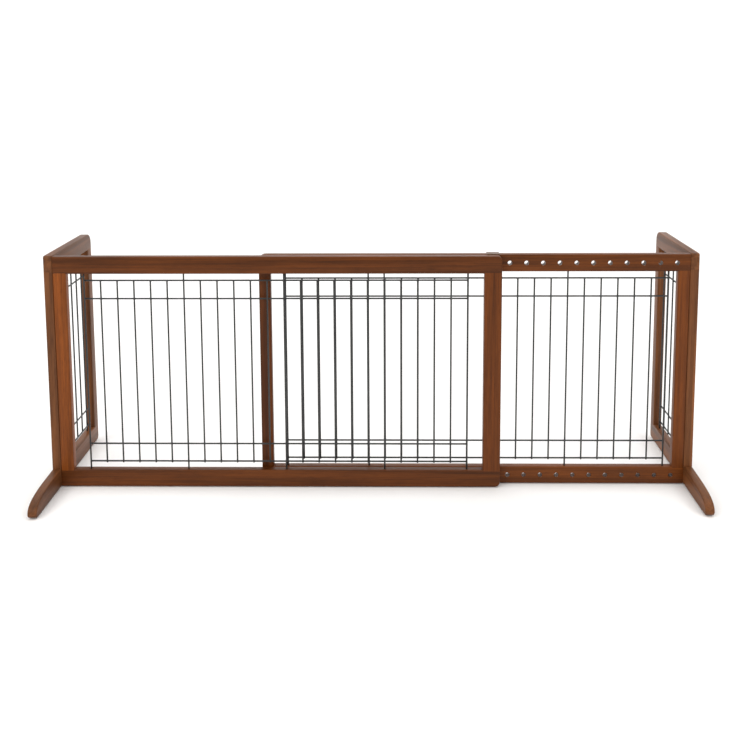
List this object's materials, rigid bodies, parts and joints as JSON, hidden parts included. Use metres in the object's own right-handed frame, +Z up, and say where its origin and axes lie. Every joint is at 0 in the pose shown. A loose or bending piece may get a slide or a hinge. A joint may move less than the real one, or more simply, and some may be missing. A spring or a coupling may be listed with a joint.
{
  "type": "free-standing pet gate",
  "caption": "Low wooden gate of two wire-grille frames that slide past each other, each with a side panel on a long foot.",
  "frame": {"origin": "centre of the bounding box at floor level, at the width the gate is stored at", "axes": "+X along the gate to the right, +Y from the toes towards the heels of the feet, +Z up; the front faces -Y"},
  "size_m": [1.386, 0.45, 0.51],
  "materials": {
    "frame_wood": "satin dark brown stain",
    "side_wood": "satin dark brown stain",
    "dowel_wood": "raw beech",
    "wire": "satin black coating",
    "steel": "zinc plated",
    "bracket_steel": "dark bronze coating",
    "knob_plastic": "matte dark brown",
    "pad_rubber": "matte"
  },
  "bodies": {
    "front_section": {"front_frame_barrel_nut_1": "steel", "front_frame_barrel_nut_2": "steel", "front_frame_bottom_rail": "frame_wood", "front_frame_dowel_1": "dowel_wood", "front_frame_dowel_2": "dowel_wood", "front_frame_dowel_3": "dowel_wood", "front_frame_dowel_4": "dowel_wood", "front_frame_grille": "wire", "front_frame_left_stile": "frame_wood", "front_frame_right_stile": "frame_wood", "front_frame_top_rail": "frame_wood", "left_bolt_1": "steel", "left_bolt_2": "steel", "left_pad_heel": "pad_rubber", "left_pad_toe": "pad_rubber", "left_panel_dowel_1": "dowel_wood", "left_panel_dowel_2": "dowel_wood", "left_panel_dowel_3": "dowel_wood", "left_panel_dowel_4": "dowel_wood", "left_panel_foot": "side_wood", "left_panel_front_post": "side_wood", "left_panel_grille": "wire", "left_panel_rear_post": "side_wood", "left_panel_top_rail": "side_wood", "lock_bracket_bottom": "bracket_steel", "lock_bracket_screw_bottom": "steel", "lock_bracket_screw_top": "steel", "lock_bracket_top": "bracket_steel", "lock_bushing_bottom": "steel", "lock_bushing_top": "steel"},
    "rear_section": {"rear_frame_barrel_nut_1": "steel", "rear_frame_barrel_nut_2": "steel", "rear_frame_bottom_rail": "frame_wood", "rear_frame_dowel_1": "dowel_wood", "rear_frame_dowel_2": "dowel_wood", "rear_frame_dowel_3": "dowel_wood", "rear_frame_dowel_4": "dowel_wood", "rear_frame_grille": "wire", "rear_frame_guide_stud_bottom": "steel", "rear_frame_guide_stud_top": "steel", "rear_frame_left_stile": "frame_wood", "rear_frame_right_stile": "frame_wood", "rear_frame_top_rail": "frame_wood", "right_bolt_1": "steel", "right_bolt_2": "steel", "right_pad_heel": "pad_rubber", "right_pad_toe": "pad_rubber", "right_panel_dowel_1": "dowel_wood", "right_panel_dowel_2": "dowel_wood", "right_panel_dowel_3": "dowel_wood", "right_panel_dowel_4": "dowel_wood", "right_panel_foot": "side_wood", "right_panel_front_post": "side_wood", "right_panel_grille": "wire", "right_panel_rear_post": "side_wood", "right_panel_top_rail": "side_wood"},
    "lock_top": {"lock_knob_top": "knob_plastic", "lock_pin_top": "steel"},
    "lock_bottom": {"lock_knob_bottom": "knob_plastic", "lock_pin_bottom": "steel"}
  },
  "joints": [
    {"name": "width_slide", "type": "slide", "parent": "front_section", "child": "rear_section", "axis": [1, 0, 0], "range_m": [-0.3883, 0.4236]},
    {"name": "lock_top_pull", "type": "slide", "parent": "front_section", "child": "lock_top", "axis": [0, -1, 0], "range_m": [0, 0.016]},
    {"name": "lock_bottom_pull", "type": "slide", "parent": "front_section", "child": "lock_bottom", "axis": [0, -1, 0], "range_m": [0, 0.016]}
  ]
}
